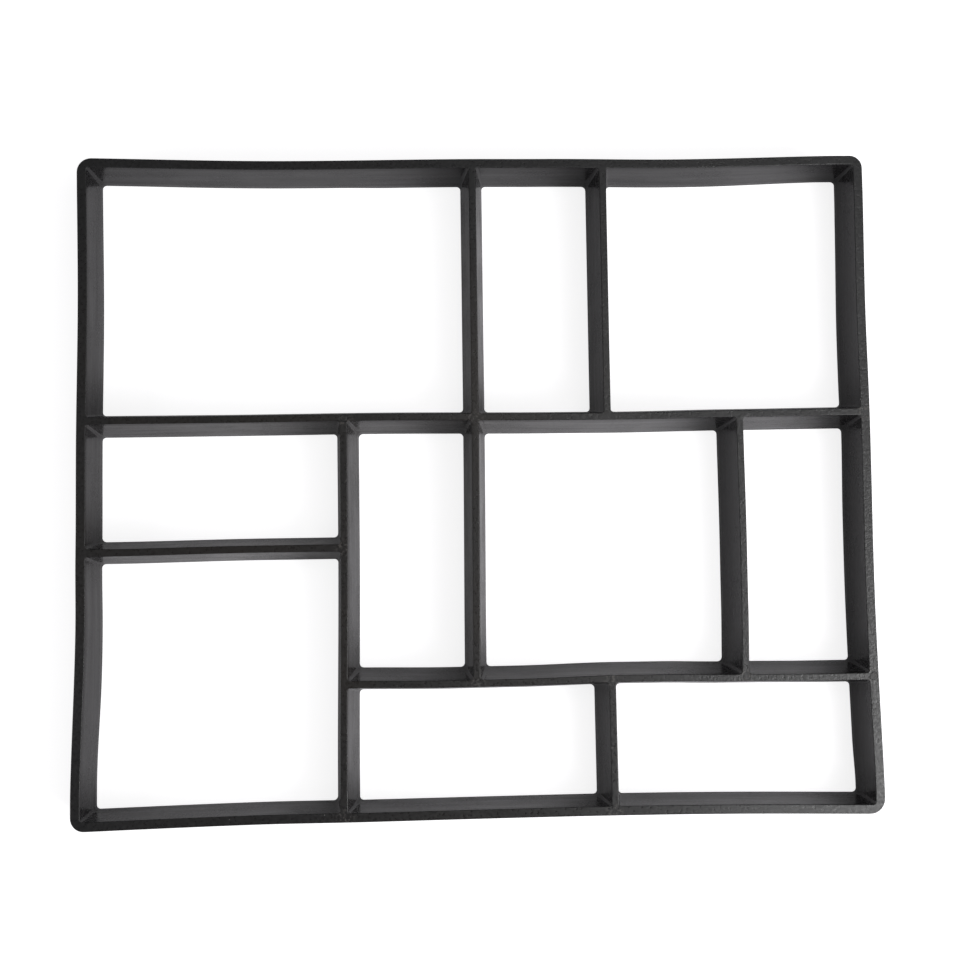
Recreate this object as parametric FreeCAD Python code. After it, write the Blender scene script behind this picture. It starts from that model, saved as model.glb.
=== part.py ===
import FreeCAD, Part
import os
from FreeCAD import Vector

# Concrete paving mould: one moulded plastic lattice of ten open cells, lying on its wide base.
# Millimetres. X runs across the width, Y from front to back, Z up. Origin under the middle of the base.

# Square grid that every inner wall lies on
module = 100.0
columns = 6
rows = 5

# Wall sections
height = 50.0
wall_rim = 5.3
wall_base = 16.3
frame_rim = 6.8
frame_draft = 0.9
outer_draft = 0.6

# Roundings
outer_corner = 10.7
cell_corner = 3.6
rim_round = 0.7

# How far the shrinking plastic has pulled in each side of the frame at its middle
bow_left = 2.1
bow_right = 2.1
bow_front = 3.6
bow_back = 3.0

# How far each inner wall has been drawn off its grid line
drift_long = 0.3
drift_west = 3.0
drift_east = 2.1
drift_left = -0.8
drift_middle = -2.0
drift_right = -1.0
drift_back = -1.7
drift_front = -1.9

# Sizes that follow
width = columns * module
depth = rows * module
left = -width / 2
right = width / 2
front = -depth / 2
back = depth / 2


def column(number):
    return left + number * module


def row(number):
    return front + number * module


# Centre lines of the walls: three run across, five run front to back
long_y = row(3) + drift_long
west_y = row(2) + drift_west
east_y = row(1) + drift_east
left_x = column(2) + drift_left
middle_x = column(3) + drift_middle
right_x = column(5) + drift_right
back_x = column(4) + drift_back
front_x = column(4) + drift_front


def beyond_side(outward, reach, half_length, bow, base_inset, rim_inset):
    # What lies outside one bowed side: a wide upright cone whose axis stands far out from that side
    radius = (half_length ** 2 + bow ** 2) / (2 * bow)
    axis = outward * (reach - bow + radius)
    return Part.makeCone(radius + base_inset, radius + rim_inset, height, axis)


def bowed_block(base_inset, rim_inset):
    # Solid inside the four bowed sides, each set in from the nominal outline at the base and at the rim
    grown = 2 * max(base_inset, rim_inset, -base_inset, -rim_inset)
    corner = Vector(left - grown, front - grown, 0)
    block = Part.makeBox(width + 2 * grown, depth + 2 * grown, height, corner)
    return block.cut([
        beyond_side(Vector(-1, 0, 0), width / 2, depth / 2, bow_left, base_inset, rim_inset),
        beyond_side(Vector(1, 0, 0), width / 2, depth / 2, bow_right, base_inset, rim_inset),
        beyond_side(Vector(0, -1, 0), depth / 2, width / 2, bow_front, base_inset, rim_inset),
        beyond_side(Vector(0, 1, 0), depth / 2, width / 2, bow_back, base_inset, rim_inset),
    ]).Solids[0]


def wall(start, end):
    # Trapezium section, wide at the base and narrow at the rim, drawn straight from start to end
    run = end - start
    side = Vector(-run.y, run.x, 0).normalize()
    up = Vector(0, 0, height)
    section = [
        start - side * (wall_base / 2),
        start + side * (wall_base / 2),
        start + side * (wall_rim / 2) + up,
        start - side * (wall_rim / 2) + up,
    ]
    return Part.Face(Part.makePolygon(section + section[:1])).extrude(run)


def wall_across(y, x_from, x_to):
    return wall(Vector(x_from, y, 0), Vector(x_to, y, 0))


def wall_along(x, y_from, y_to):
    return wall(Vector(x, y_from, 0), Vector(x, y_to, 0))


def standing_edges(solid):
    # Edges that climb from the base to the rim
    return [edge for edge in solid.Edges if edge.BoundBox.ZLength > height / 2]


def rim_edges(solid):
    # Edges that lie in the plane of the rim
    return [edge for edge in solid.Edges if edge.BoundBox.ZMin > height - rim_round / 2]


# Lattice of inner walls, each ending in the wall or frame side that it meets
lattice = wall_across(long_y, left, right).multiFuse([
    wall_across(west_y, left, left_x),
    wall_across(east_y, left_x, right),
    wall_along(left_x, front, long_y),
    wall_along(middle_x, east_y, back),
    wall_along(right_x, east_y, long_y),
    wall_along(back_x, long_y, back),
    wall_along(front_x, front, east_y),
])

# Ten cells: what the walls leave of the frame's opening, with rounded corners
opening = bowed_block(frame_rim + frame_draft, frame_rim)
cells = []
for cell in opening.cut(lattice).Solids:
    cells.append(cell.makeFillet(cell_corner, standing_edges(cell)))

# Frame block with rounded outer corners, the cells cut through it, and the rim edges broken
block = bowed_block(-outer_draft, 0)
block = block.makeFillet(outer_corner, standing_edges(block))
mould = block.cut(cells).removeSplitter()
mould = mould.makeFillet(rim_round, rim_edges(mould))

os.makedirs("parts", exist_ok=True)
mould.Solids[0].exportStep("parts/paving_mould.step")
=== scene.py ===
import bpy
import numpy as np
from math import radians
from mathutils import Matrix, Vector
from mathutils.geometry import delaunay_2d_cdt


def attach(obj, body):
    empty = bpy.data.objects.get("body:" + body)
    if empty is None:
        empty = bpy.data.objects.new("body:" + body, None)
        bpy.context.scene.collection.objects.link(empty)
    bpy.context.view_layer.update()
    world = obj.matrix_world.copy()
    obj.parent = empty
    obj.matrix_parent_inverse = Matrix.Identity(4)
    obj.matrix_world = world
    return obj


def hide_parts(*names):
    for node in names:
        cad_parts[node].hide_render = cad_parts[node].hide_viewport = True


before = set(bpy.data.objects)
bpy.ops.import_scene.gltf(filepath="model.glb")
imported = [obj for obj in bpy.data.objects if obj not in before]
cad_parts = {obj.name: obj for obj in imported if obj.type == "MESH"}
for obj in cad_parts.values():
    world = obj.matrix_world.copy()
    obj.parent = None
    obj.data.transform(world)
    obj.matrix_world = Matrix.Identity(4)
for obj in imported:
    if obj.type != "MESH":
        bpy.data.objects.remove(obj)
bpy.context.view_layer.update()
print("frame loaded:", list(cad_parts))


photoCamera = {
    "stands": (-0.0237, -0.0509, 1.0761),  # metres, nearly straight above the mould
    "looksAt": (0.0211, 0.0366, 0.0),
    "roll": 0.866,                         # degrees about the line of sight
    "lens": 51.35, "sensor": 36.0,         # mm
    "shift": (-0.0238, -0.0418),           # the mould sits a little high and left in its frame
}


def setCamera(view):
    # right, up and back axes from the line of sight and the roll, written as the camera's matrix
    stands = Vector(view["stands"])
    sight = (Vector(view["looksAt"]) - stands).normalized()
    north = Vector((0, 1, 0))
    up = (north - sight * north.dot(sight)).normalized()
    up = Matrix.Rotation(radians(view["roll"]), 3, sight) @ up
    right = sight.cross(up)
    lens = bpy.data.cameras.new("photoCamera")
    lens.lens, lens.sensor_width = view["lens"], view["sensor"]
    lens.shift_x, lens.shift_y = view["shift"]
    camera = bpy.data.objects.new("photoCamera", lens)
    bpy.context.collection.objects.link(camera)
    turned = Matrix((right, up, -sight)).transposed().to_4x4()
    camera.matrix_world = Matrix.Translation(stands) @ turned
    bpy.context.scene.camera = camera


setCamera(photoCamera)
print("camera set")


def feed(tree, socket, value):
    # a socket takes a number, a colour or another node's output
    if isinstance(value, bpy.types.NodeSocket):
        tree.links.new(value, socket)
    else:
        socket.default_value = value


def put(tree, kind, sockets=(), **settings):
    # adds a shader node, sets it up and fills its sockets
    made = tree.nodes.new("ShaderNode" + kind)
    for name, value in settings.items():
        setattr(made, name, value)
    for name, value in dict(sockets).items():
        feed(tree, made.inputs[name], value)
    return made


def reckon(tree, operation, first, second):
    # one Math node, its two numbers given in order
    return put(tree, "Math", {0: first, 1: second}, operation=operation).outputs[0]


def plus(tree, first, second):
    # first + second
    return reckon(tree, "ADD", first, second)


def times(tree, first, second):
    # first * second
    return reckon(tree, "MULTIPLY", first, second)


def between(tree, share, first, second):
    # first + (second - first) * share
    step = put(tree, "MapRange", {"Value": share, "To Min": first, "To Max": second})
    return step.outputs["Result"]


def ramp(tree, value, low, high, toLow=0.0, toHigh=1.0):
    # smooth step from toLow to toHigh while value goes from low to high
    step = put(tree, "MapRange", {"Value": value, "From Min": low, "From Max": high,
                                  "To Min": toLow, "To Max": toHigh},
               interpolation_type="SMOOTHSTEP")
    return step.outputs["Result"]


def blend(tree, share, first, second):
    # colour between first and second by a mask; the sockets are those of the colour mix
    return put(tree, "Mix", {0: share, 6: first, 7: second}, data_type="RGBA").outputs[2]


def distance(tree, spot, middle=(0, 0, 0)):
    # length of spot - middle
    return put(tree, "VectorMath", {0: spot, 1: middle}, operation="DISTANCE").outputs["Value"]


def newTree(holder):
    # empty node tree of a material or world
    holder.use_nodes = True
    holder.node_tree.nodes.clear()
    return holder.node_tree


def newGroup(name, vector, numbers, results):
    # empty shader group: a vector input, number inputs with their usual values, number outputs
    tree = bpy.data.node_groups.new(name, "ShaderNodeTree")
    tree.interface.new_socket(vector, in_out="INPUT", socket_type="NodeSocketVector")
    for label, usual in numbers.items():
        number = tree.interface.new_socket(label, in_out="INPUT", socket_type="NodeSocketFloat")
        number.default_value = usual
    for label in results:
        tree.interface.new_socket(label, in_out="OUTPUT", socket_type="NodeSocketFloat")
    return tree, tree.nodes.new("NodeGroupInput").outputs, tree.nodes.new("NodeGroupOutput").inputs


studio = {
    "floorHalf": 5.0, "floorDrop": 0.0003,     # metres, the floor lies just under the base
    "floorColour": (0.630, 0.620, 0.641, 1),
    "floorWhite": (0.79, 0.87),            # white the camera sees over the lit floor, near and far
    "floorFade": (0.6, 2.4),               # metres from the mould, where near turns to far
    "floorGloss": 0.02,                    # white over the lit floor in the plastic's reflections
    "world": 0.18,                         # strength of the sky, which the camera sees as white
    "lamps": {                             # place and size in metres, watts
        "keyBox": ((0.80, -0.48, 0.88), (0.74, 0.70), 11.6),
        "fillBox": ((-1.50, -0.15, 1.03), (0.86, 0.86), 4.6),
        "topBox": ((0.72, 0.22, 2.20), (0.95, 0.95), 6.8),
    },
}


def makeFloor(look):
    # one wide square under the mould, lit by the lamps and white to the camera
    half, low = look["floorHalf"], -look["floorDrop"]
    corners = [(-half, -half, low), (half, -half, low), (half, half, low), (-half, half, low)]
    mesh = bpy.data.meshes.new("studioFloor")
    mesh.from_pydata(corners, [], [(0, 1, 2, 3)])
    floor = bpy.data.objects.new("studioFloor", mesh)
    bpy.context.collection.objects.link(floor)
    skin = bpy.data.materials.new("paleFloor")
    tree = newTree(skin)
    rays = put(tree, "LightPath").outputs
    away = distance(tree, put(tree, "TexCoord").outputs["Object"])
    seen = plus(tree, rays["Is Camera Ray"], rays["Is Transmission Ray"])
    seen = times(tree, seen, ramp(tree, away, *look["floorFade"], *look["floorWhite"]))
    mirrored = times(tree, rays["Is Glossy Ray"], look["floorGloss"])
    white = put(tree, "Emission", {"Strength": plus(tree, seen, mirrored)})
    lit = put(tree, "BsdfDiffuse", {"Color": look["floorColour"]})
    both = put(tree, "AddShader", {0: lit.outputs[0], 1: white.outputs[0]})
    put(tree, "OutputMaterial", {"Surface": both.outputs[0]})
    mesh.materials.append(skin)


def makeLight(look):
    # soft boxes that face the mould, and an even dim sky that the camera sees as white
    for name, (stands, size, watts) in look["lamps"].items():
        lamp = bpy.data.lights.new(name, "AREA")
        lamp.shape = "RECTANGLE"
        lamp.size, lamp.size_y = size
        lamp.energy = watts
        holder = bpy.data.objects.new(name, lamp)
        bpy.context.collection.objects.link(holder)
        holder.location = stands
        holder.rotation_euler = (-Vector(stands)).to_track_quat("-Z", "Y").to_euler()
    world = bpy.data.worlds.new("studio")
    tree = newTree(world)
    rays = put(tree, "LightPath").outputs
    seen = plus(tree, rays["Is Camera Ray"], rays["Is Transmission Ray"])
    strength = between(tree, seen, look["world"], 1.0)
    sky = put(tree, "Background", {"Color": (1, 1, 1, 1), "Strength": strength})
    put(tree, "OutputWorld", {"Surface": sky.outputs[0]})
    bpy.context.scene.world = world


makeFloor(studio)
makeLight(studio)
print("floor and light set")


mmPerMetre = 1000

mouldShape = {                             # millimetres
    "height": 50.0,
    "halfWidth": 300.3, "halfDepth": 250.2,
    "wallRim": 5.3, "wallBase": 17.0,      # thickness of an inner wall
    "frameRim": 6.8, "frameDraft": 0.9,    # thickness of the frame, and what its base adds inside
    "outerDraft": 0.15,                    # what its base adds outside
    "outerCorners": (11.6, 9.8, 11.0, 10.4),   # front right, back right, back left, front left
    "cornerFoot": 3.1, "cornerRim": 2.5,   # radius of a cell's corners
    "cornerSpread": 0.4, "cornerSeed": 11,     # how far they differ, and the draw that says how
    "rimRound": 0.6, "baseRound": 0.15,
    "flatStrip": 0.35,                     # level strip beside each rounded edge
    "step": 5.0,                           # spacing of the mesh along an outline
    "arcPoints": 9,                        # its points round a corner
    "baseRows": 3, "faceRows": 8, "rimRows": 6,    # its rows on the base edge, face and rim edge
}

# where each side or wall stands, how far a side's middle has pulled in, and how it sways: stations
# along it with the offset there; foot is the same for the foot of a side's inner face alone, and
# base is a wall's own thickness there
mouldLines = {
    "left": {
        "at": -300.0, "bow": 2.1,
        "sway": ((-245, 0), (-220, -0.4), (-105, 0.9), (-50, 0.1), (35, -0.4), (145, 0.5),
                 (245, 0)),
        "foot": ((-215, -0.9), (-145, 0.2), (-60, -0.4), (250, -0.5))},
    "right": {
        "at": 300.0, "bow": -2.1,
        "sway": ((-245, 0), (-225, 0.3), (-100, -0.4), (50, 1.0), (140, 0.1), (215, 0.3), (245, 0)),
        "foot": ((-240, 0.5), (-200, -0.6), (-25, -0.9), (35, -0.3), (70, -1.3), (205, -0.3),
                 (240, 0))},
    "front": {
        "at": -250.0, "bow": 3.6,
        "sway": ((-295, 0), (-170, 0.2), (-80, -0.6), (180, 0.4), (295, 0)),
        "foot": ((-300, 0), (300, 0))},
    "back": {
        "at": 250.0, "bow": -3.0,
        "sway": ((-295, 0), (-170, -0.7), (0, 1.2), (50, 1.0), (160, -0.4), (275, 0.3), (295, 0)),
        "foot": ((-280, -0.1), (-205, -0.3), (-110, -0.2), (-65, -0.8), (75, -0.7), (180, -1.0),
                 (285, 0.4))},
    "longWall": {
        "at": 50.3,
        "sway": ((-200, 0.1), (-80, 0.6), (60, -0.5), (110, -0.7), (200, 0.3), (300, 0.8))},
    "westWall": {
        "at": -47.0,
        "sway": ((-285, -0.9), (-165, 0.3))},
    "eastWall": {
        "at": -147.9,
        "sway": ((-100, 0.4), (-25, -0.6), (25, -0.4), (105, 1.1), (140, 1.0), (190, 0),
                 (265, -0.7))},
    "leftWall": {
        "at": -100.7,
        "sway": ((-220, -0.7), (-50, 0.4), (50, 0.1))},
    "middleWall": {
        "at": -2.0,
        "sway": ((-148, -0.7), (60, 0.4), (250, 0.5))},
    "rightWall": {
        "at": 199.0, "base": 16.6,
        "sway": ((-148, -0.7), (-95, 0.1), (-30, 0.4), (50, 0.1))},
    "backWall": {
        "at": 98.4, "base": 16.6,
        "sway": ((50, 0), (250, 0.1))},
    "frontWall": {
        "at": 98.1,
        "sway": ((-250, 0.2), (-148, -0.1))},
}

# the ten cells: what stands on their west, east, south and north
mouldCells = (
    ("left", "middleWall", "longWall", "back"),
    ("middleWall", "backWall", "longWall", "back"),
    ("backWall", "right", "longWall", "back"),
    ("left", "leftWall", "westWall", "longWall"),
    ("leftWall", "middleWall", "eastWall", "longWall"),
    ("middleWall", "rightWall", "eastWall", "longWall"),
    ("rightWall", "right", "eastWall", "longWall"),
    ("left", "leftWall", "front", "westWall"),
    ("leftWall", "frontWall", "front", "eastWall"),
    ("frontWall", "right", "front", "eastWall"),
)

# marks where the walls meet: x, y, and how clearly an ejector pin shows there
pinMarks = (
    (294.4, -148.0, 1.0), (198.6, -146.5, 0.6), (97.4, -147.6, 0.0), (-2.4, -148.2, 0.2),
    (296.0, 51.2, 0.3), (-2.0, 50.4, 0.1), (-100.2, 50.6, 0.6), (-100.4, -46.4, 0.0),
    (-100.8, -244.8, 0.0), (98.2, -244.6, 0.2),
)


def eased(stations, along):
    # eased steps between stations: a + (b - a) * t * t * (3 - 2t), with t the share of the way from
    # one station to the next
    spot, offset = np.array(stations, float).T
    i = np.clip(np.searchsorted(spot, along) - 1, 0, len(spot) - 2)
    t = np.clip((along - spot[i]) / (spot[i + 1] - spot[i]), 0, 1)
    return offset[i] + (offset[i + 1] - offset[i]) * t * t * (3 - 2 * t)


def pull(name, along, sunk):
    # offset of a line from straight: bow * (1 - (along / half)^2), plus its sway, plus sunk times
    # its foot
    line = mouldLines[name]
    half = mouldShape["halfDepth"] if name in ("left", "right") else mouldShape["halfWidth"]
    bowed = line.get("bow", 0) * (1 - (along / half) ** 2)
    foot = eased(line["foot"], along) * sunk if "foot" in line else 0
    return bowed + eased(line["sway"], along) + foot


def climb(outer):
    # profile from base to rim: a level strip, a quarter round, a straight face, a quarter round and
    # a level strip; gives each row's height and how far the outline has grown there
    shape = mouldShape
    names = ("baseRound", "rimRound", "height", "flatStrip")
    low, high, tall, flat = (shape[name] for name in names)
    a = np.radians(np.linspace(90, 0, shape["baseRows"]))
    b = np.radians(np.linspace(0, 90, shape["rimRows"]))
    face = np.linspace(low, tall - high, shape["faceRows"])[1:-1]
    z = np.concatenate([[0], low * (1 - np.sin(a)), face, tall - high + high * np.sin(b), [tall]])
    grow = np.concatenate([[low + flat], low * (1 - np.cos(a)), np.zeros(len(face)),
                           high * (1 - np.cos(b)), [high + flat]])
    return z, -grow if outer else grow


def outline(west, east, south, north, corner, grow):
    # loop of four quarter circles joined by straight runs, for every row at once: an arc's centre
    # is the corner moved in by its radius, its radius there is corner + grow, and a run is
    # (1 - t) * start + t * end
    fr, br, bl, fl = corner.T
    centreX = np.stack([east - fr, east - br, west + bl, west + fl], 1)[:, :, None]
    centreY = np.stack([south + fr, north - br, north - bl, south + fl], 1)[:, :, None]
    quarter = np.linspace(0, 90, mouldShape["arcPoints"])
    turn = np.radians(np.array([-90, 0, 90, 180])[:, None] + quarter)
    radius = (corner + grow[:, None])[:, :, None]
    arcs = np.stack([centreX + radius * np.cos(turn), centreY + radius * np.sin(turn)], -1)
    parts = []
    for k in range(4):
        start, end = arcs[:, k, -1], arcs[:, (k + 1) % 4, 0]
        count = int(np.linalg.norm(end - start, axis=1).max() / mouldShape["step"])
        t = np.linspace(0, 1, count + 2)[1:-1][None, :, None]
        parts += [arcs[:, k], start[:, None] * (1 - t) + end[:, None] * t]
    return np.concatenate(parts, 1)


def across(spot, first, second):
    # share of the way from one line to another: (spot - start) / (end - start), held within 0 and 1
    start, end = mouldLines[first]["at"], mouldLines[second]["at"]
    return np.clip((spot - start) / (end - start), 0, 1)


def swayed(loop, sides, sunk):
    # carries a straight loop to where the sides really are, with f the share of the way across:
    # dx = (1 - f) * westPull(y) + f * eastPull(y), and the same for dy
    west, east, south, north = sides
    x, y = loop[..., 0], loop[..., 1]
    f, g = across(x, west, east), across(y, south, north)
    dx = (1 - f) * pull(west, y, sunk) + f * pull(east, y, sunk)
    dy = (1 - g) * pull(south, x, sunk) + g * pull(north, x, sunk)
    return np.stack([x + dx, y + dy], -1)


def liner(sides, z, grow, spread):
    # one cell's walls: its four sides stand in from their lines by a thickness that thins with
    # height, and its corners' radius goes from foot to rim, each corner with its own spread
    shape = mouldShape
    share = z / shape["height"]
    taper = (shape["cornerRim"] - shape["cornerFoot"]) * share[:, None]
    corner = shape["cornerFoot"] + taper + spread
    rail = shape["frameRim"] + shape["frameDraft"] * (1 - share)
    foot = [mouldLines[name].get("base", shape["wallBase"]) for name in sides]
    wall = [(shape["wallRim"] * share + base * (1 - share)) / 2 for base in foot]
    thick = [half if name.endswith("Wall") else rail for name, half in zip(sides, wall)]
    at = [mouldLines[name]["at"] for name in sides]
    west, south = at[0] + thick[0], at[2] + thick[2]
    east, north = at[1] - thick[1], at[3] - thick[3]
    loops = outline(west, east, south, north, corner, grow)
    return swayed(loops, sides, (1 - share)[:, None])


def ringQuads(rows, count, first):
    # quads of a closed strip: (row, j), (row, j + 1), (row + 1, j + 1), (row + 1, j)
    i, j = np.meshgrid(np.arange(rows - 1), np.arange(count), indexing="ij")
    low, high, after = i * count, (i + 1) * count, (j + 1) % count
    quads = np.stack([low + j, low + after, high + after, high + j], -1)
    return first + quads.reshape(-1, 4)


def levelFace(points, loops, upward):
    # level face between the outer loop and the cell loops: a triangulation that keeps every loop's
    # edges, less each triangle whose three corners are all on one cell's loop
    sizes = [len(loop) for loop in loops]
    used, owner = np.concatenate(loops), np.repeat(np.arange(len(loops)), sizes)
    after = np.arange(len(used)) + 1
    last = np.cumsum(sizes) - 1
    after[last] = last + 1 - sizes         # each loop closes on its own first point
    ends = np.stack([np.arange(len(used)), after], 1)
    inside, nearest = 1, 1e-5              # only what lies inside; closer points are one
    flat = delaunay_2d_cdt(points[used, :2].tolist(), ends.tolist(), [], inside, nearest)
    triangles = np.array(flat[3])[:, 0][np.array(flat[2])]
    whose = owner[triangles]
    inCell = (whose[:, 0] > 0) & (whose == whose[:, :1]).all(1)
    triangles = used[triangles[~inCell]]
    return triangles if upward else triangles[:, ::-1]


def markPins(mesh, points):
    # on each point of the mesh, the way to it from the nearest mark and how clearly that mark shows
    marks = np.array(pinMarks)
    pins = np.column_stack([marks[:, :2], np.full(len(marks), mouldShape["height"])])
    ways = points[:, None] - pins[None]
    nearest = np.linalg.norm(ways, axis=2).argmin(1)
    way = mesh.attributes.new("pinWay", "FLOAT_VECTOR", "POINT")
    way.data.foreach_set("vector", (ways[np.arange(len(points)), nearest] / mmPerMetre).ravel())
    clear = mesh.attributes.new("pinClear", "FLOAT", "POINT")
    clear.data.foreach_set("value", marks[nearest, 2])


def makeMould(shape):
    # outer skin and ten cell liners, joined by a level rim and a level base
    rng = np.random.default_rng(shape["cornerSeed"])
    z, grow = climb(True)
    out = shape["outerDraft"] * (1 - z / shape["height"])
    wide, deep = shape["halfWidth"] + out, shape["halfDepth"] + out
    corner = np.tile(shape["outerCorners"], (len(z), 1))
    skin = outline(-wide, wide, -deep, deep, corner, grow)
    skins = [swayed(skin, ("left", "right", "front", "back"), 0)]
    z, grow = climb(False)
    for sides in mouldCells:
        spread = shape["cornerSpread"] * rng.uniform(-1, 1, 4)
        skins.append(liner(sides, z, grow, spread))
    points, quads, rims, bases, first = [], [], [], [], 0
    for number, loops in enumerate(skins):
        rows, count = loops.shape[:2]
        level = np.broadcast_to(z[:, None, None], (rows, count, 1))
        points.append(np.concatenate([loops, level], -1).reshape(-1, 3))
        strip = ringQuads(rows, count, first)
        quads.append(strip if number == 0 else strip[:, ::-1])
        bases.append(first + np.arange(count))
        rims.append(first + (rows - 1) * count + np.arange(count))
        first += rows * count
    points = np.concatenate(points)
    rim, base = levelFace(points, rims, True), levelFace(points, bases, False)
    faces = np.concatenate(quads).tolist() + rim.tolist() + base.tolist()
    mesh = bpy.data.meshes.new("mouldSkin")
    mesh.from_pydata((points / mmPerMetre).tolist(), [], faces)
    mesh.polygons.foreach_set("use_smooth", np.ones(len(mesh.polygons), bool))
    markPins(mesh, points)
    mesh.update()
    mould = bpy.data.objects.new("mouldSkin", mesh)
    bpy.context.collection.objects.link(mould)
    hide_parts("paving_mould")
    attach(mould, "root")
    return mould


mould = makeMould(mouldShape)
print("mould made:", len(mould.data.vertices), "points,", len(mould.data.polygons), "faces")


drawnStreaks = {
    "along": 14.0, "height": 260.0,        # per metre, along a wall and up it
    "detail": 3.0, "roughness": 0.55, "distortion": 0.6,
    "step": (0.28, 0.72),
}


def streakGroup(look):
    # wisps drawn along the walls: smooth step of noise at (along * x, along * y, height * z)
    usual = {"Along": look["along"], "Height": look["height"], "Detail": look["detail"]}
    tree, given, result = newGroup("drawnStreaks", "Vector", usual, ["Value"])
    stretch = put(tree, "CombineXYZ", {"X": given["Along"], "Y": given["Along"],
                                       "Z": given["Height"]})
    drawn = put(tree, "VectorMath", {0: given["Vector"], 1: stretch.outputs[0]},
                operation="MULTIPLY")
    noise = put(tree, "TexNoise", {"Vector": drawn.outputs[0], "Scale": 1.0,
                                   "Detail": given["Detail"], "Roughness": look["roughness"],
                                   "Distortion": look["distortion"]})
    feed(tree, result["Value"], ramp(tree, noise.outputs["Fac"], *look["step"]))
    return tree


rimPebbles = {
    "coarse": 400.0, "fine": 950.0,        # per metre: grains of about 2 mm and under 1 mm
    "coarseShare": 0.7, "fineShare": 0.3,
    "detail": 2.0, "coarseRoughness": 0.6,
    "step": (0.30, 0.70),
}


def pebbleGroup(look):
    # pebbled grain of the rim: smooth step of coarseShare * noise + fineShare * finer noise
    usual = {"Coarse": look["coarse"], "Fine": look["fine"]}
    tree, given, result = newGroup("rimPebbles", "Vector", usual, ["Value"])
    coarse = put(tree, "TexNoise", {"Vector": given["Vector"], "Scale": given["Coarse"],
                                    "Detail": look["detail"], "Roughness": look["coarseRoughness"]})
    fine = put(tree, "TexNoise", {"Vector": given["Vector"], "Scale": given["Fine"],
                                  "Detail": look["detail"]})
    both = plus(tree, times(tree, coarse.outputs["Fac"], look["coarseShare"]),
                times(tree, fine.outputs["Fac"], look["fineShare"]))
    feed(tree, result["Value"], ramp(tree, both, *look["step"]))
    return tree


pinMark = {                                # metres
    "radius": 0.0028,
    "grooveFade": (0.0002, 0.0008),        # off the radius
    "grooveBroken": (0.10, 0.50, 0.3, 1.0),    # pebble heights, and the groove's share there
    "discFade": (0.0, 0.0005),             # in from the radius
    "scuffFade": (0.0025, 0.0095),         # off the middle
    "scuffTops": (0.55, 0.85),             # pebble heights
}


def pinGroup(look):
    # mark of an ejector pin, from the way to the nearest one: a groove where the way's length is
    # the pin's radius, broken up by the pebbles, the disc within, and scuffs around on the
    # pebbles' tops
    usual = {"Radius": look["radius"], "Pebbles": 0.5}
    tree, given, result = newGroup("pinMark", "Way", usual, ["Groove", "Disc", "Scuff"])
    far = distance(tree, given["Way"])
    short = reckon(tree, "SUBTRACT", given["Radius"], far)
    off = put(tree, "Math", {0: short}, operation="ABSOLUTE").outputs[0]
    groove = times(tree, ramp(tree, off, *look["grooveFade"], 1.0, 0.0),
                   ramp(tree, given["Pebbles"], *look["grooveBroken"]))
    edgeWearAndHighlight = times(tree, ramp(tree, far, *look["scuffFade"], 1.0, 0.0),
                  ramp(tree, given["Pebbles"], *look["scuffTops"]))
    feed(tree, result["Groove"], groove)
    feed(tree, result["Disc"], ramp(tree, short, *look["discFade"]))
    feed(tree, result["Scuff"], edgeWearAndHighlight)
    return tree


dustSpecks = {
    "scale": 130.0,                        # per metre
    "share": 0.93,                         # the cells whose draw is above this have a speck
    "smallest": 0.02, "added": 0.055,      # its size in the pattern's units
    "fade": (0.6, 1.0),                    # shares of that size
}


def speckGroup(look):
    # sparse dust: a dot in a few of the cells of a Voronoi pattern, as large as
    # smallest + added * the cell's draw
    usual = {"Scale": look["scale"], "Share": look["share"]}
    tree, given, result = newGroup("dustSpecks", "Vector", usual, ["Mask"])
    cells = put(tree, "TexVoronoi", {"Vector": given["Vector"], "Scale": given["Scale"]})
    draws = put(tree, "SeparateColor", {"Color": cells.outputs["Color"]})
    some = reckon(tree, "GREATER_THAN", draws.outputs["Red"], given["Share"])
    size = plus(tree, times(tree, draws.outputs["Green"], look["added"]), look["smallest"])
    reach = reckon(tree, "DIVIDE", cells.outputs["Distance"], size)
    dot = ramp(tree, reach, *look["fade"], 1.0, 0.0)
    feed(tree, result["Mask"], times(tree, dot, some))
    return tree


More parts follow.
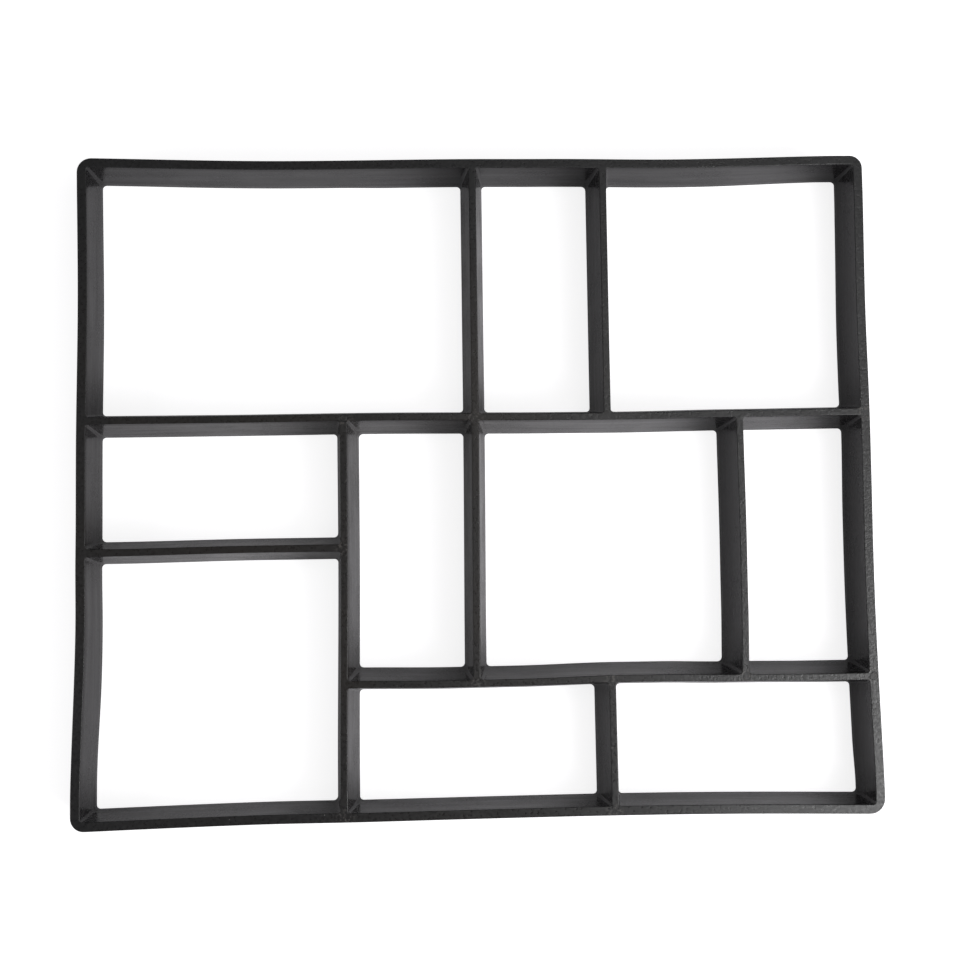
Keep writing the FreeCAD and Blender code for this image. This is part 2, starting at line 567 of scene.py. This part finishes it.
blackPlastic = {
    "wallDark": (0.0048, 0.0045, 0.0053, 1), "wallLight": (0.0150, 0.0138, 0.0154, 1),
    "rimDark": (0.0072, 0.0072, 0.0080, 1), "rimLight": (0.0126, 0.0124, 0.0134, 1),
    "rimStarts": (0.0494, 0.0499),         # metres up, where wall turns to rim
    "edgeRises": (0.0488, 0.0494), "edgeFalls": (0.0496, 0.0500),  # metres up, the rim's rounded edge, made lighter as rubbed wear and a painted highlight
    "edgeWearAndHighlight": (0.026, 0.026, 0.027, 1),     # rounded edges of the rim made lighter: rubbed wear and a painted edge highlight
    "dust": (0.30, 0.30, 0.29, 1),
    "pinScuff": (0.058, 0.053, 0.049, 1),
    "pinDepth": 0.18,                      # mm, grooves round the ejector pins
    "pinDull": 0.12,                       # added roughness on a pin's face
    "patchScale": 30.0, "patchDetail": 2.0,    # worn patches, per metre
    "patchStep": (0.35, 0.65), "patchShare": 0.5,  # their share of the wear, the rest pebbles
    "warm": (0.0145, 0.0112, 0.0088, 1),   # browner plastic, mostly round the inner walls
    "warmScale": 11.0, "warmDetail": 3.0,  # its patches, per metre
    "warmPatches": (0.30, 0.70, 0.3, 1.0),     # heights of the noise, and its share there
    "warmMiddle": (-0.10, -0.02, 0.04),    # metres
    "warmReach": (0.08, 0.32, 0.9, 0.1),   # metres from there, and its share there
    "wallRoughness": (0.10, 0.34), "rimRoughness": (0.24, 0.50),
    "wallMottle": 0.65,                    # how much of the walls' change is wear, the rest wisps
    "wallDepth": 0.010,                    # mm, drawn streaks on the walls
    "swellDepth": 0.20,                    # mm, slow waves in the walls
    "swellAlong": 9.0, "swellHeight": 50.0, "swellDetail": 0.5,    # per metre
    "rimDepth": 0.18,                      # mm, pebbled rim
    "pebbleMiddle": (0.26, -0.04, 0.05),   # metres, where the pebbles are strongest
    "pebbleReach": (0.12, 0.20),           # metres from there, where they fade
    "pebbleRest": 0.35,                    # their share elsewhere
    "ior": 1.5,
}


def makePlastic(look):
    # near-black moulded plastic: drawn walls, a rougher pebbled rim with pin marks, rubbed edges
    # with a painted highlight, pin grooves darkened as painted shade, and a little dust
    skin = bpy.data.materials.new("blackPlastic")
    tree = newTree(skin)
    spot = put(tree, "TexCoord").outputs["Object"]
    up = put(tree, "SeparateXYZ", {0: spot}).outputs["Z"]
    rim = ramp(tree, up, *look["rimStarts"])
    edge = times(tree, ramp(tree, up, *look["edgeRises"]),
                 ramp(tree, up, *look["edgeFalls"], 1.0, 0.0))
    streaks, pebbles = streakGroup(drawnStreaks), pebbleGroup(rimPebbles)
    pins, specks = pinGroup(pinMark), speckGroup(dustSpecks)

    # the patterns over the surface
    wisps = put(tree, "Group", {"Vector": spot}, node_tree=streaks).outputs["Value"]
    swell = put(tree, "Group", {"Vector": spot, "Along": look["swellAlong"],
                                "Height": look["swellHeight"], "Detail": look["swellDetail"]},
                node_tree=streaks).outputs["Value"]
    grain = put(tree, "Group", {"Vector": spot}, node_tree=pebbles).outputs["Value"]
    dust = put(tree, "Group", {"Vector": spot}, node_tree=specks).outputs["Mask"]
    way = put(tree, "Attribute", attribute_name="pinWay").outputs["Vector"]
    pin = put(tree, "Group", {"Way": way, "Pebbles": grain}, node_tree=pins).outputs
    clear = put(tree, "Attribute", attribute_name="pinClear").outputs["Fac"]
    clear = times(tree, clear, rim)
    groove, disc = times(tree, pin["Groove"], clear), times(tree, pin["Disc"], clear)
    patches = put(tree, "TexNoise", {"Vector": spot, "Scale": look["patchScale"],
                                     "Detail": look["patchDetail"]}).outputs["Fac"]
    patches = ramp(tree, patches, *look["patchStep"])
    worn = plus(tree, times(tree, patches, look["patchShare"]),
                times(tree, grain, 1 - look["patchShare"]))
    tint = put(tree, "TexNoise", {"Vector": spot, "Scale": look["warmScale"],
                                  "Detail": look["warmDetail"]}).outputs["Fac"]
    inner = ramp(tree, distance(tree, spot, look["warmMiddle"]), *look["warmReach"])
    brown = times(tree, ramp(tree, tint, *look["warmPatches"]), inner)

    # colour: wall or rim, then browner plastic, rubbed edges with a painted highlight, scuffs,
    # pin grooves darkened as painted shade, and dust over it
    wallColour = blend(tree, wisps, look["wallDark"], look["wallLight"])
    rimColour = blend(tree, worn, look["rimDark"], look["rimLight"])
    colour = blend(tree, rim, wallColour, rimColour)
    colour = blend(tree, brown, colour, look["warm"])
    # the rim's rounded edge made lighter: rubbed wear and a painted edge highlight
    colour = blend(tree, times(tree, edge, grain), colour, look["edgeWearAndHighlight"])
    colour = blend(tree, times(tree, pin["Scuff"], rim), colour, look["pinScuff"])
    # pin grooves darkened to the walls' dark tone: painted shade in the groove
    colour = blend(tree, groove, colour, look["wallDark"])
    colour = blend(tree, dust, colour, look["dust"])

    # roughness: wear and wisps on the walls, pebbles and dull pins on the rim
    mottled = plus(tree, times(tree, wisps, 1 - look["wallMottle"]),
                   times(tree, worn, look["wallMottle"]))
    wallRough = between(tree, mottled, *look["wallRoughness"])
    rimRough = plus(tree, between(tree, grain, *look["rimRoughness"]),
                    times(tree, disc, look["pinDull"]))
    rough = between(tree, rim, wallRough, rimRough)

    # relief in mm: wisps on the walls, pebbles less grooves on the rim, slow waves over all
    wallHeight = times(tree, wisps, look["wallDepth"])
    away = distance(tree, spot, look["pebbleMiddle"])
    depth = ramp(tree, away, *look["pebbleReach"], look["rimDepth"],
                 look["rimDepth"] * look["pebbleRest"])
    rimHeight = reckon(tree, "SUBTRACT", times(tree, grain, depth),
                       times(tree, groove, look["pinDepth"]))
    relief = plus(tree, between(tree, rim, wallHeight, rimHeight),
                  times(tree, swell, look["swellDepth"]))
    bump = put(tree, "Bump", {"Strength": 1.0, "Distance": 1 / mmPerMetre, "Height": relief})
    shader = put(tree, "BsdfPrincipled", {"Base Color": colour, "Roughness": rough,
                                          "IOR": look["ior"], "Normal": bump.outputs["Normal"]})
    put(tree, "OutputMaterial", {"Surface": shader.outputs[0]})
    return skin


mould.data.materials.append(makePlastic(blackPlastic))
print("plastic made")

bpy.context.scene.view_settings.view_transform = "Standard"
